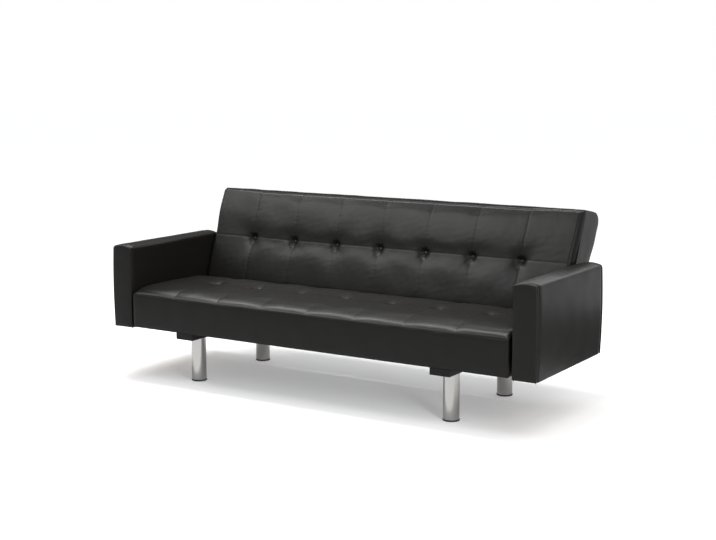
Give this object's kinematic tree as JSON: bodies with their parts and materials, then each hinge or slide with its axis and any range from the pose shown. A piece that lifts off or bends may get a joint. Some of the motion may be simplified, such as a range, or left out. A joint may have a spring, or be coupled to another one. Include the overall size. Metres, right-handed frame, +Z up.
{
  "type": "sofa bed",
  "caption": "Armed sofa bed in tufted black faux leather on chrome tube legs, with a click-clack back that folds down level with the seat for sleeping.",
  "frame": {"origin": "on the floor under the middle of the sofa's length and depth", "axes": "+X along the length to the right as seen from the front, +Y towards the back, +Z up; the seat faces -Y"},
  "size_m": [2, 0.8122, 0.7641],
  "materials": {
    "black_leather": "satin",
    "button_leather": "satin",
    "leg_chrome": "polished",
    "foot_plastic": "matte",
    "spacer_plastic": "matte",
    "black_timber": "matte",
    "raw_timber": "matte",
    "plywood": "matte",
    "elastic_webbing": "matte",
    "dust_cloth": "matte",
    "hinge_steel": "satin",
    "fastener_steel": "satin"
  },
  "bodies": {
    "base": {"arm_bolts": "fastener_steel", "arm_bottom_boards": "plywood", "arm_cover_left": "black_leather", "arm_cover_right": "black_leather", "arm_facing_left": "black_leather", "arm_facing_right": "black_leather", "arm_inner_boards": "plywood", "arm_outer_boards": "plywood", "arm_ribs": "plywood", "arm_spacers": "spacer_plastic", "beam_bolts": "fastener_steel", "cross_beam_left": "black_timber", "cross_beam_right": "black_timber", "hinge_pins": "hinge_steel", "hinge_seat_plate_left": "hinge_steel", "hinge_seat_plate_right": "hinge_steel", "leg_feet": "foot_plastic", "leg_front_left": "leg_chrome", "leg_front_right": "leg_chrome", "leg_rear_left": "leg_chrome", "leg_rear_right": "leg_chrome", "leg_studs": "fastener_steel", "pawl_pins": "hinge_steel", "rear_stretcher": "black_timber", "seat_buttons": "button_leather", "seat_cross_rails": "raw_timber", "seat_dust_cover": "dust_cloth", "seat_end_panel_left": "black_leather", "seat_end_panel_right": "black_leather", "seat_end_rail_left": "raw_timber", "seat_end_rail_right": "raw_timber", "seat_front_panel": "black_leather", "seat_front_rail": "raw_timber", "seat_hinge_screws": "fastener_steel", "seat_pad": "black_leather", "seat_rear_panel": "black_leather", "seat_rear_rail": "raw_timber", "seat_webbing": "elastic_webbing"},
    "back": {"back_bottom_panel": "black_leather", "back_bottom_rail": "raw_timber", "back_buttons": "button_leather", "back_end_panel_left": "black_leather", "back_end_panel_right": "black_leather", "back_end_post_left": "raw_timber", "back_end_post_right": "raw_timber", "back_hinge_screws": "fastener_steel", "back_pad": "black_leather", "back_rear_panel": "black_leather", "back_top_panel": "black_leather", "back_top_rail": "raw_timber", "back_uprights": "raw_timber", "back_webbing": "elastic_webbing", "hinge_back_plate_left": "hinge_steel", "hinge_back_plate_right": "hinge_steel", "hinge_ratchets": "hinge_steel"},
    "pawl_left": {"hinge_pawl_left": "hinge_steel", "pawl_spring_left": "hinge_steel"},
    "pawl_right": {"hinge_pawl_right": "hinge_steel", "pawl_spring_right": "hinge_steel"}
  },
  "joints": [
    {"name": "back_fold", "type": "hinge", "parent": "base", "child": "back", "pos_m": [0, 0.13886, 0.332], "axis": [-1, 0, 0], "range_deg": [-10, 69.6]},
    {"name": "pawl_left_lift", "type": "hinge", "parent": "base", "child": "pawl_left", "pos_m": [-0.892, 0.09355, 0.31087], "axis": [-1, 0, 0], "range_deg": [0, 10], "stiffness_Nm_per_rad": 0.02, "springref_deg": -17.19},
    {"name": "pawl_right_lift", "type": "hinge", "parent": "base", "child": "pawl_right", "pos_m": [0.892, 0.09355, 0.31087], "axis": [-1, 0, 0], "range_deg": [0, 10], "stiffness_Nm_per_rad": 0.02, "springref_deg": -17.19}
  ]
}
